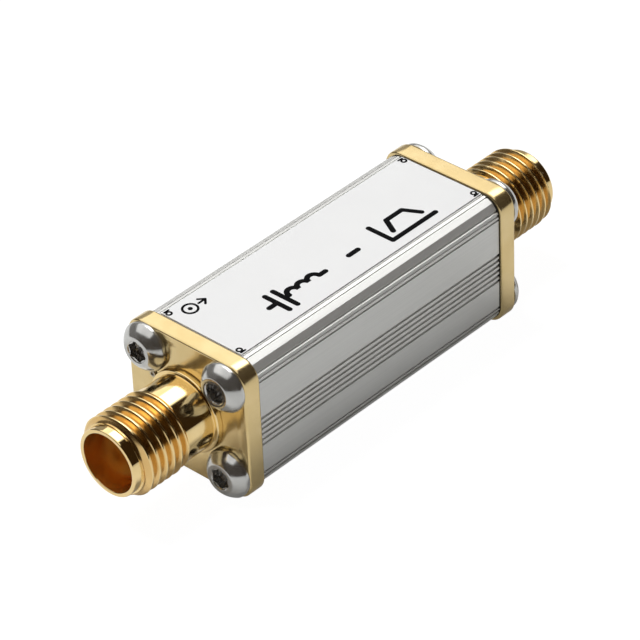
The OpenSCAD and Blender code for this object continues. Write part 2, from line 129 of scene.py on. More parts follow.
# Sockets of the screws, with shares of the socket's radius for a worn lobe and for the round between
SOCKET_R = 0.82
SOCKET_LOBES = 6
SOCKET_DEPTH = 0.65
SOCKET_BEVEL = 0.08
SOCKET_ROUND = 0.02
SOCKET_LIP = 0.005
LOBE_SHARE = 0.3
CORE_SHARE = 0.86

# Degrees that each screw is turned in its hole, by the signs of its corner
SCREW_TURNS = {(1, 1): 12, (1, -1): 47, (-1, 1): 31, (-1, -1): 3}

# Jacks
JACK_LEN = 8.0
NOSE_LEN = 0.7
NOSE_R = 2.64
NOSE_ROUND = 0.12
NOSE_FOOT_ROUND = 0.02
NECK_R = 2.95
NECK_END_ROUND = 0.06
NECK_FOOT_ROUND = 0.04
COLLAR_R = 3.25
COLLAR_T = 0.5
COLLAR_ROUND = 0.24
COLLAR_FOOT_ROUND = 0.06
SPIGOT_R = 2.9
BORE_R = 2.31
BORE_DEPTH = 3.4
BORE_ROUND = 0.08
INNER_BORE_R = 2.05
STEP_ROUND = 0.03
FLANGE_R = 2.3
FLANGE_DEPTH = 0.8

# Thread of a jack
THREAD_R = 3.175
THREAD_DEPTH = 0.43
THREAD_PITCH = 25.4 / 36
THREAD_TURNS = 6
THREAD_RUN_OUT = 0.3 * THREAD_PITCH

# Half of the thread's section, from root to crest: shares of the pitch and of the depth
THREAD_HALF = [(0.0, 0.0), (0.055, 0.0), (0.09, 0.04), (0.2, 0.36),
               (0.3, 0.645), (0.39, 0.9), (0.425, 0.985), (0.46, 1.0)]

# Points round each circle
JACK_SIDES = 128
SCREW_SIDES = 120
SPIGOT_HOLE_SIDES = 96
HOLE_SIDES = 48
PIN_SIDES = 48
PIN_HOLE_SIDES = 32

# Worked out from the driving sizes
THREAD_ROOT_R = THREAD_R - THREAD_DEPTH
SCREW_POS = (COLLAR_R + HEAD_GAP + HEAD_R) / math.sqrt(2)
SCREW_CENTRES = [(x * SCREW_POS, y * SCREW_POS) for x in (-1, 1) for y in (-1, 1)]
PLATE_W = 2 * (SCREW_POS + HEAD_R)
TUBE_W = PLATE_W - 2 * PLATE_LIP
AXIS_H = PLATE_W / 2
PLATE_FACE = TUBE_LEN / 2 + GASKET_T + PLATE_T
BAY_HALF = TUBE_W / 2 - WALL
PORT_R = SCREW_R + PORT_GAP
BOSS_R = PORT_R + BOSS_WALL

# Places in a list of materials: a jack has shell, valley and bore, a screw or pin shell and socket; valley,
# bore and socket get darker materials, painted shade in these hollows
SHELL = 0
VALLEY = 1
BORE = 2
SOCKET = 1

# Share of the thread's depth from which a crest has the shell's gold, not the darker valley gold that
# paints the shade in the thread's hollows
CREST_FROM = 0.85

# How far into the bore its mouth has the shell's gold before the darker bore gold that paints its shade
# begins, and how much a radius of the bore may be off
MOUTH_EDGE = 0.05
NEAR = 0.01


# Meshes


def end_matrix(rear):
    """Takes a shape made along +Z with +X up onto the outside of an end plate."""
    turn = Matrix.Rotation(math.pi if rear else 0.0, 4, "Z")
    place = Matrix.Translation((-PLATE_FACE * MM, 0.0, AXIS_H * MM))
    return turn @ place @ Matrix.Rotation(-math.pi / 2, 4, "Y")


def mesh_object(name, verts, faces, matrix=Matrix.Identity(4), looks=None):
    """Mesh object from points in millimetres; looks gives each face's place in the material list."""
    mesh = bpy.data.meshes.new(name)
    mesh.from_pydata([Vector(v) * MM for v in verts], [], faces)
    mesh.transform(matrix)
    if looks:
        mesh.polygons.foreach_set("material_index", looks)
    mesh.validate()
    obj = bpy.data.objects.new(name, mesh)
    bpy.context.scene.collection.objects.link(obj)
    return obj


def weld(mesh, gap=1e-4):
    """Joins points that lie within gap millimetres, drops faces without area and turns the faces out."""
    bm = bmesh.new()
    bm.from_mesh(mesh)
    bmesh.ops.remove_doubles(bm, verts=bm.verts, dist=gap * MM)
    bmesh.ops.dissolve_degenerate(bm, dist=gap * MM, edges=bm.edges)
    bmesh.ops.recalc_face_normals(bm, faces=bm.faces)
    bm.to_mesh(mesh)
    bm.free()


def solid(name, verts, faces, matrix=Matrix.Identity(4), looks=None, sharp=35.0):
    """Closed object with smooth shading that keeps flat faces flat beside their rounded edges."""
    obj = mesh_object(name, verts, faces, matrix, looks)
    weld(obj.data)
    obj.data.shade_smooth()
    obj.data.set_sharp_from_angle(angle=math.radians(sharp))
    mod = obj.modifiers.new("even_normals", "WEIGHTED_NORMAL")
    mod.keep_sharp = True
    mod.weight = 100
    return obj


def band(a, b, count):
    """Quads between two closed rings of count points that start at the point numbers a and b."""
    return [(a + k, a + (k + 1) % count, b + (k + 1) % count, b + k) for k in range(count)]


def cap(starts, loops):
    """Triangles between the first loop of points and the others, which start at these point numbers."""
    order = []
    for start, loop in zip(starts, loops):
        order += range(start, start + len(loop))
    triangles = tessellate_polygon([[Vector(point) for point in loop] for loop in loops])
    return [tuple(order[k] for k in tri) for tri in triangles]


def revolve(outline, sides):
    """Points and faces of a (radius, height) outline turned about Z."""
    verts, faces = [], []
    for r, z in outline:
        for k in range(sides):
            a = 2 * math.pi * k / sides
            verts.append((r * math.cos(a), r * math.sin(a), z))
    for i in range(len(outline) - 1):
        faces += band(i * sides, (i + 1) * sides, sides)
    return verts, faces


def fillet(points, steps=4, closed=True):
    """Outline of (x, y, radius) points with each corner rounded, as far as its two sides allow."""
    made = []
    least_turn = 0.05
    side_share = 0.45
    count = len(points)
    for i, (x, y, r) in enumerate(points):
        p = Vector((x, y))
        a = Vector(points[i - 1][:2]) - p
        b = Vector(points[(i + 1) % count][:2]) - p
        turn = math.pi - a.angle(b)
        if r <= 0 or turn < least_turn or (not closed and i in (0, count - 1)):
            made.append((x, y))
            continue
        reach = min(r * math.tan(turn / 2), side_share * a.length, side_share * b.length)
        start = p + a.normalized() * reach
        end = p + b.normalized() * reach
        for k in range(steps + 1):
            t = k / steps
            q = start * (1 - t) ** 2 + p * (2 * t * (1 - t)) + end * t**2
            made.append((q.x, q.y))
    return made


def rounded_square_loop(w, r, steps=12):
    """Maker of a rounded square's points for a given inset."""
    def make(inset):
        half, rr = w / 2 - r, r - inset
        points = []
        for cx, cy, turn in ((1, 1, 0), (-1, 1, 90), (-1, -1, 180), (1, -1, 270)):
            for k in range(steps + 1):
                a = math.radians(turn + 90 * k / steps)
                points.append((cx * half + rr * math.cos(a), cy * half + rr * math.sin(a)))
        return points
    return make


def circle_loop(x, y, r, sides, ease=1.0):
    """Maker of a circle's points; a negative inset widens it, by the share that ease gives."""
    def make(inset):
        rr = r - ease * inset
        turns = [2 * math.pi * k / sides for k in range(sides)]
        return [(x + rr * math.cos(a), y + rr * math.sin(a)) for a in turns]
    return make


def extruded(name, outline, holes, depth, bevel, matrix, steps=5):
    """Plate from z = -depth to 0 with holes and evenly rounded edges on both faces."""
    verts, faces = [], []
    top, bottom = [], []
    for make, sign in [(outline, 1)] + [(hole, -1) for hole in holes]:
        rings = []
        for at_bottom in (False, True):
            for k in range(steps + 1):
                a = math.pi / 2 * (1 - k / steps if at_bottom else k / steps)
                drop = bevel * (1 - math.cos(a))
                z = -depth + drop if at_bottom else -drop
                points = make(sign * bevel * (1 - math.sin(a)))
                rings.append(len(verts))
                verts += [(x, y, z) for x, y in points]
        for a, b in zip(rings, rings[1:]):
            faces += band(a, b, len(points))
        top.append((rings[0], len(points)))
        bottom.append((rings[-1], len(points)))
    for face in (top, bottom):
        faces += cap([start for start, _ in face], [verts[start:start + n] for start, n in face])
    return solid(name, verts, faces, matrix)


def prism(name, outer, holes, x0, x1):
    """Prism along X through a (y, z) outline about the jack axis, with holes right through it."""
    verts, faces = [], []
    loops = [outer] + holes
    near, far = [], []
    for loop in loops:
        for x, starts in ((x0, near), (x1, far)):
            starts.append(len(verts))
            verts += [(x, y, z + AXIS_H) for y, z in loop]
        faces += band(near[-1], far[-1], len(loop))
    for starts in (near, far):
        faces += cap(starts, [[(0.0, y, z) for y, z in loop] for loop in loops])
    return solid(name, verts, faces)


# Section of the tube


def cut(place, before, after, width, depth, lean):
    """Section points of a cut with leaning walls, between the outline's directions before and after it."""
    along = (before + after).normalized()
    normal = Vector((-along.y, along.x))
    foot = along * depth * math.tan(math.radians(lean)) - normal * depth
    back = foot - 2 * foot.project(along)
    first, last = place - before * width / 2, place + after * width / 2
    return [(spot, LIP_ROUND) for spot in (first, first + foot, last + back, last)]


def rim(angle):
    """Point of a rounded edge about its own centre, at degrees from the top or bottom face."""
    a = math.radians(angle)
    return TUBE_CORNER_R * Vector((math.sin(a), math.cos(a)))


def heading(angle):
    """Direction of the outline at the rim's point of the same angle."""
    a = math.radians(angle)
    return Vector((math.cos(a), -math.sin(a)))


def rounded_edge():
    """Section points of a rounded edge about its own centre, from the top face round to the side."""
    spots = []
    before = heading(EDGE_LINES[0][0])
    for row, following in zip(EDGE_LINES, EDGE_LINES[1:] + EDGE_LINES[-1:]):
        angle, width, depth, lean, flat = row
        after = heading((angle + following[0]) / 2) if flat else heading(angle)
        if width:
            spots += cut(rim(angle), before, after, width, depth, lean)
        else:
            spots.append((rim(angle), LIP_ROUND))
        before = after if flat else heading(following[0])
        if flat or row is following:
            continue
        start = angle + math.degrees(width / 2 / TUBE_CORNER_R) + EDGE_CLEAR
        end = following[0] - math.degrees(following[1] / 2 / TUBE_CORNER_R) - EDGE_CLEAR
        spots += [(rim(start + (end - start) * k / EDGE_STEPS), 0.0) for k in range(EDGE_STEPS + 1)]
    return spots


def tube_outline():
    """Outer section of the tube, clockwise: four rounded edges and the grooves of two sides."""
    spots = []
    edge = rounded_edge()
    mirrored = [(Vector((place.y, place.x)), r) for place, r in reversed(edge)]
    centre = Vector((1, 1)) * (TUBE_W / 2 - TUBE_CORNER_R)
    for turn in range(4):
        spin = Matrix.Rotation(-math.pi / 2 * turn, 2)
        spots += [(spin @ (centre + place), r) for place, r in (mirrored if turn % 2 else edge)]
        if turn % 2:
            continue
        side = 1 - turn
        down = Vector((0, -side))
        for i in range(GROOVE_COUNT):
            level = side * ((GROOVE_COUNT - 1) / 2 - i) * GROOVE_PITCH - GROOVE_DROP
            middle = Vector((side * TUBE_W / 2, level))
            spots += cut(middle, down, down, GROOVE_W, GROOVE_DEPTH, GROOVE_LEAN)
    return fillet([(place.x, place.y, r) for place, r in spots])


def bay_outline():
    """Inner section of the tube: a square with a screw boss in each corner and two slots for the board."""
    spots = []
    reach = math.asin((BAY_HALF - SCREW_POS) / BOSS_R)
    for turn in range(4):
        spin = Matrix.Rotation(-math.pi / 2 * turn, 2)
        for k in range(BOSS_STEPS + 1):
            a = math.pi / 2 - reach + (math.pi / 2 + 2 * reach) * k / BOSS_STEPS
            place = Vector((SCREW_POS - BOSS_R * math.sin(a), SCREW_POS + BOSS_R * math.cos(a)))
            spots.append(spin @ place)
        if turn % 2:
            continue
        side = 1 - turn
        levels = BOARD_SLOT[::-side]
        for x, y in ((0, levels[0]), (SLOT_DEPTH, levels[0]), (SLOT_DEPTH, levels[1]), (0, levels[1])):
            spots.append(Vector((side * (BAY_HALF + x), y)))
    return [(place.x, place.y) for place in spots]


# Pieces


def tube():
    """Extruded housing tube with every fine line and groove softened at its lips."""
    ports = [circle_loop(x, y, PORT_R, HOLE_SIDES)(0) for x, y in SCREW_CENTRES]
    return prism("tube", tube_outline(), [bay_outline()] + ports, -TUBE_LEN / 2, TUBE_LEN / 2)


def plate(name, rear):
    """End plate with rounded edges and its jack, pin and screw holes."""
    holes = [circle_loop(0, 0, SPIGOT_HOLE_R, SPIGOT_HOLE_SIDES),
             circle_loop(PIN_UP, PIN_SIDE, PIN_HOLE_R, PIN_HOLE_SIDES, PIN_SINK / PLATE_ROUND)]
    holes += [circle_loop(x, y, PLATE_HOLE_R, HOLE_SIDES) for x, y in SCREW_CENTRES]
    outline = rounded_square_loop(PLATE_W, PLATE_CORNER_R)
    return extruded(name, outline, holes, PLATE_T, PLATE_ROUND, end_matrix(rear))


def thread_surface(z0, z1):
    """Helical thread between two heights: a strip that follows the helix and runs out at both ends."""
    profile = THREAD_HALF + [(1 - part, height) for part, height in reversed(THREAD_HALF[1:])]
    parts = len(profile)
    steps = JACK_SIDES * (int((z1 - z0) / THREAD_PITCH) + 3)
    verts = []
    for n in range(steps):
        a = 2 * math.pi * n / JACK_SIDES
        for part, height in profile:
            z = z0 + (n / JACK_SIDES + part - 1) * THREAD_PITCH
            inside = min(max(min(z - z0, z1 - z) / THREAD_RUN_OUT, 0.0), 1.0)
            r = THREAD_ROOT_R + THREAD_DEPTH * height * inside
            verts.append((r * math.cos(a), r * math.sin(a), min(max(z, z0), z1)))
    faces, looks = [], []
    for n in range(steps - 1):
        for j in range(parts):
            if j + 1 < parts:
                a, b = n * parts + j + 1, (n + 1) * parts + j + 1
            else:
                a, b = (n + JACK_SIDES) * parts, (n + 1 + JACK_SIDES) * parts
            if b < len(verts):
                faces.append((n * parts + j, (n + 1) * parts + j, b, a))
                # Faces below the crest take the darker valley gold, painted shade in the thread's hollows
                crest = min(profile[j][1], profile[(j + 1) % parts][1]) > CREST_FROM
                looks.append(SHELL if crest else VALLEY)
    return verts, faces, looks


def jack(name, rear):
    """Jack shell with rounded edges and a true helical thread, closed all round."""
    thread_end = JACK_LEN - NOSE_LEN
    thread_start = thread_end - THREAD_TURNS * THREAD_PITCH
    outline = fillet([
        (THREAD_ROOT_R, thread_end, 0.0),
        (NOSE_R, thread_end, NOSE_FOOT_ROUND),
        (NOSE_R, JACK_LEN, NOSE_ROUND),
        (BORE_R, JACK_LEN, BORE_ROUND),
        (BORE_R, JACK_LEN - BORE_DEPTH, STEP_ROUND),
        (INNER_BORE_R, JACK_LEN - BORE_DEPTH, STEP_ROUND),
        (INNER_BORE_R, FLANGE_DEPTH - PLATE_T, 0.0),
        (FLANGE_R, FLANGE_DEPTH - PLATE_T, 0.0),
        (FLANGE_R, -PLATE_T, 0.0),
        (SPIGOT_R, -PLATE_T, 0.0),
        (SPIGOT_R, 0.0, 0.0),
        (COLLAR_R, 0.0, COLLAR_FOOT_ROUND),
        (COLLAR_R, COLLAR_T, COLLAR_ROUND),
        (NECK_R, COLLAR_T, NECK_FOOT_ROUND),
        (NECK_R, thread_start, NECK_END_ROUND),
        (THREAD_ROOT_R, thread_start, 0.0),
    ], closed=False)
    verts, faces = revolve(outline, JACK_SIDES)
    looks = []
    for (r0, z0), (r1, z1) in zip(outline, outline[1:]):
        # Faces inside the bore take the darker bore gold, painted shade
        inside = max(r0, r1) < BORE_R + NEAR and max(z0, z1) < JACK_LEN - MOUTH_EDGE
        looks += [BORE if inside else SHELL] * JACK_SIDES
    more, quads, thread_looks = thread_surface(thread_start, thread_end)
    faces += [tuple(i + len(verts) for i in quad) for quad in quads]
    return solid(name, verts + more, faces, end_matrix(rear), looks + thread_looks, sharp=40.0)


def socket_reach(a):
    """Radius of the lobed socket's outline at an angle, with worn lobes."""
    lobe_r = LOBE_SHARE * SOCKET_R
    middle = SOCKET_R - lobe_r
    turn = 2 * math.pi / SOCKET_LOBES
    off = abs((a + turn / 2) % turn - turn / 2)
    inside = lobe_r**2 - (middle * math.sin(off)) ** 2
    lobe = middle * math.cos(off) + math.sqrt(inside) if inside > 0 else 0.0
    return max(CORE_SHARE * SOCKET_R, lobe)


def screw_mesh():
    """Points and faces of one button-head screw seated at z = 0."""
    dome_z = (HEAD_FLAT_R**2 + HEAD_H**2 - HEAD_R**2 - HEAD_EDGE_H**2) / (2 * (HEAD_H - HEAD_EDGE_H))
    dome_r = math.sqrt(HEAD_R**2 + (HEAD_EDGE_H - dome_z) ** 2)
    outline = [
        (0.0, -SCREW_LEN),
        (SCREW_R - SCREW_TIP_BEVEL, -SCREW_LEN),
        (SCREW_R, -SCREW_LEN + SCREW_TIP_BEVEL),
        (SCREW_R, 0.0),
        (HEAD_R - HEAD_FOOT_ROUND, 0.0),
        (HEAD_R - HEAD_FOOT_ROUND / 4, HEAD_FOOT_ROUND / 4),
        (HEAD_R, HEAD_FOOT_ROUND),
        (HEAD_R, HEAD_EDGE_H - HEAD_EDGE_ROUND),
    ]
    start = math.atan2(HEAD_EDGE_H - dome_z, HEAD_R)
    end = math.atan2(HEAD_H - dome_z, HEAD_FLAT_R)
    for k in range(DOME_POINTS):
        a = start + (end - start) * (k + DOME_START) / DOME_STEPS
        outline.append((dome_r * math.cos(a), dome_z + dome_r * math.sin(a)))
    outline += [
        (HEAD_FLAT_R - HEAD_FLAT_ROUND, HEAD_H),
        (SOCKET_R + SOCKET_BEVEL + SOCKET_ROUND, HEAD_H),
        (SOCKET_R + SOCKET_BEVEL - SOCKET_ROUND, HEAD_H - SOCKET_ROUND / 2),
        (SOCKET_R, HEAD_H - SOCKET_BEVEL),
    ]
    verts, faces = revolve(outline, SCREW_SIDES)
    base = len(verts) - SCREW_SIDES
    for z in (HEAD_H - SOCKET_BEVEL - SOCKET_LIP, HEAD_H - SOCKET_DEPTH):
        for k in range(SCREW_SIDES):
            a = 2 * math.pi * k / SCREW_SIDES
            r = socket_reach(a)
            verts.append((r * math.cos(a), r * math.sin(a), z))
        faces += band(base, base + SCREW_SIDES, SCREW_SIDES)
        base += SCREW_SIDES
    tip = len(verts)
    verts.append((0.0, 0.0, HEAD_H - SOCKET_DEPTH - SOCKET_R / 3))
    faces += [(base + k, base + (k + 1) % SCREW_SIDES, tip) for k in range(SCREW_SIDES)]
    # Socket walls and floor take the darker socket steel, painted shade in the recess
    looks = [SHELL] * (len(outline) * SCREW_SIDES) + [SOCKET] * (2 * SCREW_SIDES)
    return verts, faces, looks


def screws(name, rear):
    """The four screws of one plate, each turned a little differently in its hole."""
    verts, faces = [], []
    one, one_faces, looks = screw_mesh()
    for (x, y), turn in SCREW_TURNS.items():
        spin = Matrix.Rotation(math.radians(turn), 4, "Z")
        start = len(verts)
        for v in one:
            w = spin @ Vector(v)
            verts.append((w.x + x * SCREW_POS, w.y + y * SCREW_POS, w.z))
        faces += [tuple(i + start for i in face) for face in one_faces]
    return solid(name, verts, faces, end_matrix(rear), 4 * looks, sharp=40.0)


def pin(name, rear):
    """Locating pin with a rounded rim and a drilled dimple."""
    corners = [(PIN_R, -PLATE_T, 0.0), (PIN_R, PIN_OUT, PIN_ROUND), (0.0, PIN_OUT, 0.0)]
    shank = fillet(corners, steps=6, closed=False)
    dimple = [(DIMPLE_R, PIN_OUT), (DIMPLE_WALL_R, PIN_OUT - DIMPLE_WALL_H), (0.0, PIN_OUT - DIMPLE_DEPTH)]
    outline = [(0.0, -PLATE_T)] + shank[:-1] + dimple
    verts, faces = revolve(outline, PIN_SIDES)
    verts = [(x + PIN_UP, y + PIN_SIDE, z) for x, y, z in verts]
    # The dimple takes the darker socket steel, painted shade in the recess
    looks = [SHELL] * ((len(outline) - 3) * PIN_SIDES) + [SOCKET] * (2 * PIN_SIDES)
    return solid(name, verts, faces, end_matrix(rear), looks, sharp=50.0)


# Materials


class Nodes:
    """Short ways to add and link the shader nodes of a material or world."""

    def __init__(self, owner):
        owner.use_nodes = True
        self.tree = owner.node_tree

    def feed(self, socket, value):
        """Links another node's output to a socket, or sets it to a plain value."""
        if isinstance(value, bpy.types.NodeSocket):
            self.tree.links.new(value, socket)
        else:
            socket.default_value = value

    def node(self, kind, settings=(), **inputs):
        """New node with its own settings, and with values or outputs fed to its named inputs."""
        made = self.tree.nodes.new(kind)
        for key, value in settings:
            setattr(made, key, value)
        for key, value in inputs.items():
            self.feed(made.inputs[key.replace("_", " ")], value)
        return made

    def calc(self, operation, *values):
        """Output of a Math node on numbers or outputs."""
        made = self.node("ShaderNodeMath", [("operation", operation)])
        for socket, value in zip(made.inputs, values):
            self.feed(socket, value)
        return made.outputs[0]

    def join(self, kind, a, b, share=None):
        """Output of an Add or Mix Shader node on two shaders."""
        made = self.node(kind)
        self.feed(made.inputs[-2], a)
        self.feed(made.inputs[-1], b)
        if share is not None:
            self.feed(made.inputs[0], share)
        return made.outputs[0]


class Finish(Nodes):
    """A Principled material whose fields are built from noise in the object's own coordinates."""

    def __init__(self, name):
        self.mat = bpy.data.materials.new(name)
        super().__init__(self.mat)
        self.bsdf = next(n for n in self.tree.nodes if n.type == "BSDF_PRINCIPLED")
        self.place = self.node("ShaderNodeTexCoord").outputs["Object"]

    def set(self, **values):
        """Feeds values or outputs to the shader's own inputs."""
        for key, value in values.items():
            self.feed(self.bsdf.inputs[key.replace("_", " ")], value)

    def noise(self, per_mm, detail=3.0, roughness=0.5, stretch=(1, 1, 1)):
        """Noise with about per_mm features to the millimetre, thinned or drawn out by stretch."""
        scale = [per_mm / MM * k for k in stretch]
        place = self.node("ShaderNodeMapping", Vector=self.place, Scale=scale).outputs["Vector"]
        made = self.node("ShaderNodeTexNoise", Vector=place, Scale=1.0, Detail=detail, Roughness=roughness)
        return made.outputs["Fac"]

    def tones(self, noise, light, deep, low=0.35, high=0.65):
        """Base colour that goes from deep to light while a noise goes from low to high."""
        made = self.node("ShaderNodeValToRGB", Fac=noise)
        for element, position, colour in zip(made.color_ramp.elements, (low, high), (deep, light)):
            element.position = position
            element.color = (*colour, 1.0)
        self.set(Base_Color=made.outputs["Color"])

    def rough(self, noise, low, high):
        """Roughness that goes from low to high over the middle of a noise."""
        made = self.node("ShaderNodeMapRange", Value=noise, From_Min=0.3, From_Max=0.7,
                         To_Min=low, To_Max=high)
        self.set(Roughness=made.outputs["Result"])

    def bump(self, noise, strength, distance=0.01):
        """Fine relief with a distance in millimetres."""
        made = self.node("ShaderNodeBump", Height=noise, Strength=strength, Distance=distance * MM)
        self.set(Normal=made.outputs["Normal"])

    def draw_out(self, share, turn=0.0):
        """Highlights drawn out along tangents that run round the jack axis, or turned from them."""
        around = self.node("ShaderNodeTangent", [("direction_type", "RADIAL"), ("axis", "X")])
        self.set(Tangent=around.outputs["Tangent"], Anisotropic=share, Anisotropic_Rotation=turn)


def gold(name, light, deep, rough, bump=0.0, turned=0.0, metallic=1.0):
    """Gold plate; turned draws its highlights out along the jack axis, as turning marks do."""
    f = Finish(name)
    f.set(Metallic=metallic)
    if turned:
        f.draw_out(turned, 0.25)
    f.tones(f.noise(0.5), light, deep)
    f.rough(f.noise(1.2, 4), *rough)
    if bump:
        f.bump(f.noise(14.0), bump)
    return f.mat


def steel(name, light, deep, rough, metallic=1.0):
    """Smooth steel with faint waves."""
    f = Finish(name)
    f.set(Metallic=metallic)
    f.tones(f.noise(0.8), light, deep)
    f.rough(f.noise(2.5, 4), *rough)
    f.bump(f.noise(9.0), 0.12)
    return f.mat


def drawn_aluminium():
    """Satin aluminium with the fine lengthwise streaks of an extrusion."""
    f = Finish("drawn_aluminium")
    f.set(Metallic=0.78)
    f.draw_out(0.75)
    f.tones(f.noise(7.0, 4, 0.6, (0.012, 1, 1)), (0.70, 0.703, 0.68), (0.65, 0.653, 0.635), 0.3, 0.7)
    f.rough(f.noise(2.0, 3, 0.5, (0.02, 1, 1)), 0.37, 0.42)
    f.bump(f.noise(16.0, 3, 0.6, (0.006, 1, 1)), 0.03)
    return f.mat


def plain(name, light, deep, per_mm, rough, coat=0.0, specular=0.5):
    """Film, ink, plastic or ceramic with a fine grain."""
    f = Finish(name)
    f.tones(f.noise(per_mm), light, deep)
    f.rough(f.noise(per_mm * 2), rough - 0.04, rough + 0.04)
    f.bump(f.noise(per_mm * 8), 0.05, 0.005)
    f.set(Coat_Weight=coat, Specular_IOR_Level=specular)
    return f.mat


MATERIALS = {
    "housing_aluminium": drawn_aluminium(),
    "plate_gold": gold(
        "satin_gold", (0.73, 0.57, 0.29), (0.67, 0.51, 0.24), (0.15, 0.21), bump=0.12, metallic=0.88),
    "jack_gold": gold("polished_gold", (0.85, 0.66, 0.34), (0.80, 0.60, 0.28), (0.07, 0.1), turned=0.85),
    "contact_gold": gold("contact_gold", (0.84, 0.62, 0.30), (0.79, 0.57, 0.26), (0.08, 0.14)),
    "screw_steel": steel(
        "polished_steel", (0.60, 0.60, 0.58), (0.48, 0.48, 0.465), (0.13, 0.23), metallic=0.86),
    "pin_steel": steel("pin_steel", (0.48, 0.43, 0.34), (0.38, 0.33, 0.25), (0.2, 0.3)),
    "label_white": plain(
        "label_film", (0.91, 0.91, 0.905), (0.89, 0.89, 0.885), per_mm=0.2, rough=0.38, coat=0.1),
    "print_black": plain(
        "printed_ink", (0.008, 0.008, 0.008), (0.005, 0.005, 0.006), per_mm=3.0, rough=0.8, specular=0.04),
    "insulator_white": plain("ptfe", (0.90, 0.89, 0.85), (0.86, 0.85, 0.81), per_mm=1.0, rough=0.45),
    "board_green": plain(
        "solder_mask", (0.05, 0.22, 0.11), (0.04, 0.18, 0.09), per_mm=1.0, rough=0.3, coat=0.3),
    "copper": gold("copper", (0.90, 0.52, 0.36), (0.80, 0.42, 0.28), (0.2, 0.32), bump=0.1),
    "chip_ceramic": plain(
        "fired_ceramic", (0.66, 0.54, 0.40), (0.56, 0.45, 0.32), per_mm=3.0, rough=0.55),
    # Near-black gasket sheets between the end plates and the tube: painted shade for the dark seam line
    # there
    "gasket_black": plain(
        "gasket_seam_shade", (0.022, 0.020, 0.018), (0.015, 0.014, 0.012), per_mm=4.0, rough=0.7, specular=0.3),
    "solder": steel("solder", (0.74, 0.75, 0.76), (0.62, 0.63, 0.64), (0.2, 0.35)),
}
# Thread valleys: a deeper, darker gold than the shell, painted shade and gold-on-gold reflection in the
# thread's hollows
VALLEY_SHADE_GOLD = gold("thread_valley_painted_shade", (0.78, 0.54, 0.23), (0.70, 0.46, 0.18), (0.14, 0.22))
# Bore: a darker, deeper orange gold than the shell, painted shade and gold-on-gold reflection inside the
# hollow jack
BORE_SHADE_GOLD = gold("bore_painted_shade_gold", (0.80, 0.40, 0.07), (0.72, 0.34, 0.05), (0.16, 0.26), metallic=0.85)
# Darker steel on the walls of the screw sockets and in the pins' dimples: painted shade in these recesses
SOCKET_SHADE_STEEL = steel("socket_painted_shade_steel", (0.42, 0.41, 0.39), (0.28, 0.27, 0.26), (0.2, 0.34))


# The dressed part


def own(obj, slot, replaced, *materials):
    """Puts a piece of the object under the root body, hides the node it stands for and gives it its
    materials; slot, its finish, is not used.
    """
    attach(obj, "root")
    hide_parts(replaced)
    for material in materials:
        obj.data.materials.append(material)


own(tube(), "housing_aluminium", "housing", MATERIALS["housing_aluminium"])
for end, rear in (("front", False), ("rear", True)):
    own(jack(end + "_jack_shell", rear), "jack_gold", end + "_jack",
        MATERIALS["jack_gold"], VALLEY_SHADE_GOLD, BORE_SHADE_GOLD)
    own(plate(end + "_end_plate", rear), "plate_gold", end + "_plate", MATERIALS["plate_gold"])
    own(screws(end + "_button_screws", rear), "screw_steel", end + "_plate_screws",
        MATERIALS["screw_steel"], SOCKET_SHADE_STEEL)
    own(pin(end + "_pin", rear), "pin_steel", end + "_locating_pin", MATERIALS["pin_steel"], SOCKET_SHADE_STEEL)

slots = {row["node"]: row["material_slot"] for row in frame["record"]["subparts"]}
for name, node in nodes.items():
    node.data.materials.clear()
    node.data.materials.append(MATERIALS[slots[name]])


# Floor, light and camera

# Floor: half its width, and its drop under the part, which keeps it clear of the plates' lower faces
FLOOR_HALF = 1500.0
FLOOR_DROP = 0.02
FLOOR_COLOUR = (0.95, 0.95, 0.945, 1)
FLOOR_GLOW = 1.12

# Share of the floor that glows white instead of taking the light, by the kind of ray that meets it
FLOOR_SHARES = (("Is Camera Ray", 0.87), ("Is Glossy Ray", 0.15), ("Is Transmission Ray", 0.15))

# Soft boxes on a ceiling one unit up: their ends along X and along Y, their soft edge and their strength
SOFT_BOXES = (
    (-1.0, 0.35, -0.4, 1.5, 0.05, 1.15),
    (0.35, 1.3, -0.2, 1.4, 0.05, 1.3),
    (0.35, 1.1, -0.12, 0.55, 0.07, 2.6),
)

# Glows on the walls: shares of X and Y that point to them, where they start and are full, and strength
WALL_GLOWS = (
    (0.34, 0.94, -0.1, 0.3, 0.1),
    (0.77, 0.64, 0.6, 0.9, 0.25),
)

# Least height of a direction that is taken up to the ceiling, and where the soft boxes fade in
CEILING_LEAST = 0.02
CEILING_FADE = (0.05, 0.15)

# Warm glow of the room in shiny surfaces, and the plain light that matt ones get
ROOM_COLOUR = (1.0, 0.6, 0.28)
ROOM_GLOW = 0.03
PLAIN_LIGHT = 0.13

# Key lamp: place and size in metres
KEY_PLACE = (-0.04, 0.175, 0.4)
KEY_SIZE = 0.2
KEY_POWER = 1.66

# Camera fitted to the photograph: place from the middle of the jack axis, and its directions
CAMERA_PLACE = (-154.705, -147.216, 154.111)
CAMERA_FORWARD = (0.58556849, 0.55993675, -0.58615731)
CAMERA_UP = (0.45367061, 0.37288611, 0.80941113)
CAMERA_SENSOR = 36.0
CAMERA_LENS = 207.41


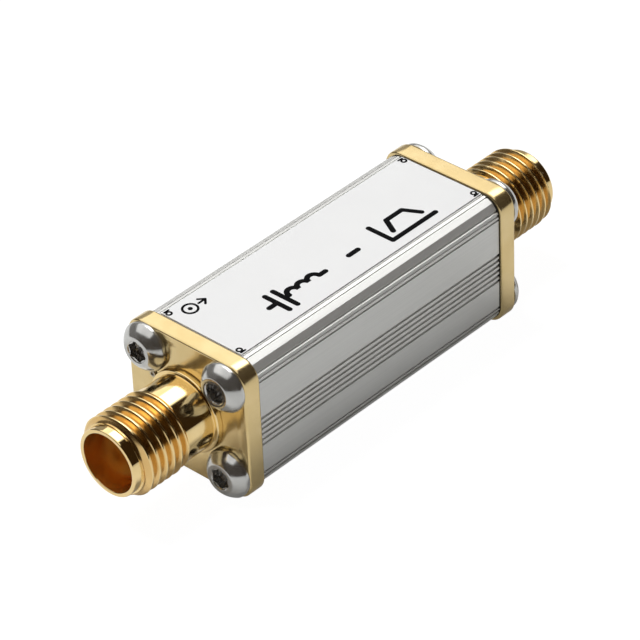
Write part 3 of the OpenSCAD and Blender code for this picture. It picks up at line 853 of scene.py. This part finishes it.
def stage_floor():
    """White floor on which the part casts only a faint shadow."""
    signs = ((-1, -1), (1, -1), (1, 1), (-1, 1))
    corners = [(x * FLOOR_HALF, y * FLOOR_HALF, -FLOOR_DROP) for x, y in signs]
    obj = mesh_object("floor", corners, [(0, 1, 2, 3)])
    mat = bpy.data.materials.new("floor_white")
    floor = Nodes(mat)
    floor.tree.nodes.clear()
    rays = floor.node("ShaderNodeLightPath").outputs
    share = 0.0
    for ray, part in FLOOR_SHARES:
        share = floor.calc("MULTIPLY_ADD", rays[ray], part, share)
    matt = floor.node("ShaderNodeBsdfDiffuse", Color=FLOOR_COLOUR).outputs[0]
    white = floor.node("ShaderNodeEmission", Strength=FLOOR_GLOW).outputs[0]
    floor.node("ShaderNodeOutputMaterial", Surface=floor.join("ShaderNodeMixShader", matt, white, share))
    obj.data.materials.append(mat)


def studio_world():
    """White to the camera, plain to matt surfaces, and soft boxes in a darker room to shiny ones."""
    world = bpy.data.worlds.new("studio")
    bpy.context.scene.world = world
    studio = Nodes(world)
    studio.tree.nodes.clear()

    def step(value, low, high):
        """Smooth rise from 0 at low to 1 at high."""
        soft = [("interpolation_type", "SMOOTHSTEP")]
        made = studio.node("ShaderNodeMapRange", soft, Value=value, From_Min=low, From_Max=high)
        return made.outputs["Result"]

    def background(strength, colour=(1, 1, 1)):
        """Output of a Background node."""
        return studio.node("ShaderNodeBackground", Color=(*colour, 1), Strength=strength).outputs[0]

    place = studio.node("ShaderNodeTexCoord").outputs["Generated"]
    x, y, z = studio.node("ShaderNodeSeparateXYZ", Vector=place).outputs
    up = studio.calc("MAXIMUM", z, CEILING_LEAST)
    u, v = studio.calc("DIVIDE", x, up), studio.calc("DIVIDE", y, up)

    lights = []
    for u0, u1, v0, v1, soft, strength in SOFT_BOXES:
        light = step(z, *CEILING_FADE)
        for side, value, inward in ((u0, u, soft), (u1, u, -soft), (v0, v, soft), (v1, v, -soft)):
            light = studio.calc("MULTIPLY", light, step(value, side - inward, side + inward))
        lights.append(studio.calc("MULTIPLY", light, strength))
    for share_x, share_y, start, full, strength in WALL_GLOWS:
        part_x, part_y = studio.calc("MULTIPLY", x, share_x), studio.calc("MULTIPLY", y, share_y)
        glow = step(studio.calc("ADD", part_x, part_y), start, full)
        lights.append(studio.calc("MULTIPLY", glow, strength))
    shine = lights[0]
    for light in lights[1:]:
        shine = studio.calc("ADD", light, shine)

    rays = studio.node("ShaderNodeLightPath").outputs
    room = studio.join("ShaderNodeAddShader", background(shine), background(ROOM_GLOW, ROOM_COLOUR))
    unseen = studio.join("ShaderNodeMixShader", background(PLAIN_LIGHT), room, rays["Is Glossy Ray"])
    seen = studio.join("ShaderNodeMixShader", unseen, background(1.0), rays["Is Camera Ray"])
    studio.node("ShaderNodeOutputWorld", Surface=seen)


def key_lamp():
    """Soft lamp that lights matt surfaces and doesn't show in shiny ones."""
    lamp = bpy.data.lights.new("key_lamp", "AREA")
    lamp.shape = "DISK"
    lamp.size = KEY_SIZE
    lamp.energy = KEY_POWER
    obj = bpy.data.objects.new("key_lamp", lamp)
    obj.location = KEY_PLACE
    obj.rotation_mode = "QUATERNION"
    obj.rotation_quaternion = (-Vector(KEY_PLACE)).to_track_quat("-Z", "Y")
    obj.visible_glossy = False
    bpy.context.scene.collection.objects.link(obj)


def photo_camera():
    """Camera at the photograph's place and angle, in the part's frame."""
    place = Vector(CAMERA_PLACE) + Vector((0, 0, AXIS_H))
    forward = Vector(CAMERA_FORWARD).normalized()
    right = forward.cross(Vector(CAMERA_UP).normalized()).normalized()
    turn = Matrix((right, right.cross(forward), -forward)).transposed().to_4x4()
    data = bpy.data.cameras.new("photo_camera")
    data.sensor_width = CAMERA_SENSOR
    data.lens = CAMERA_LENS
    data.clip_start = 0.01
    data.clip_end = 10.0
    obj = bpy.data.objects.new("photo_camera", data)
    obj.matrix_world = Matrix.Translation(place * MM) @ turn
    bpy.context.scene.collection.objects.link(obj)
    bpy.context.scene.camera = obj


stage_floor()
studio_world()
key_lamp()
photo_camera()
bpy.context.scene.view_settings.view_transform = "Standard"
